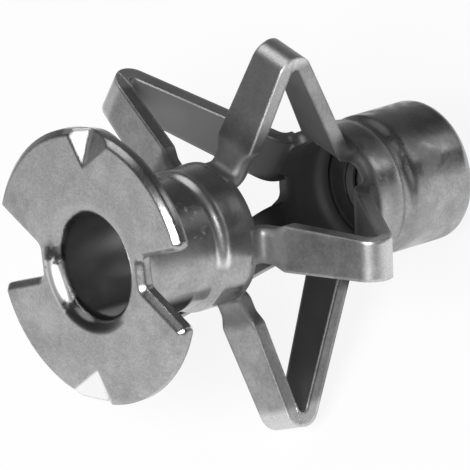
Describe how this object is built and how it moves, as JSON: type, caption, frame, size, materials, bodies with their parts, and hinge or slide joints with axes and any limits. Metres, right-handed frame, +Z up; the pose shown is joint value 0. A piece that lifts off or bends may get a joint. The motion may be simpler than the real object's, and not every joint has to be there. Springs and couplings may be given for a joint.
{
  "type": "hollow wall anchor",
  "caption": "Set hollow wall anchor: notched flange and stepped collar joined by folded legs to a rear barrel that holds a threaded nut, for fixing a screw in a board wall.",
  "frame": {"origin": "centre of the bore in the plane of the flange's wall face", "axes": "+Z up as it lies at rest; +Y the level direction from the flange towards the barrel, which points down from it by 25.5 degrees; +X to the right"},
  "size_m": [0.0335, 0.0407, 0.0313],
  "materials": {
    "plated_sheet": "bright zinc plate over formed sheet, lightly rubbed",
    "plated_nut": "dull zinc plate"
  },
  "bodies": {
    "root": {"sleeve": "plated_sheet", "nut": "plated_nut"}
  },
  "joints": []
}
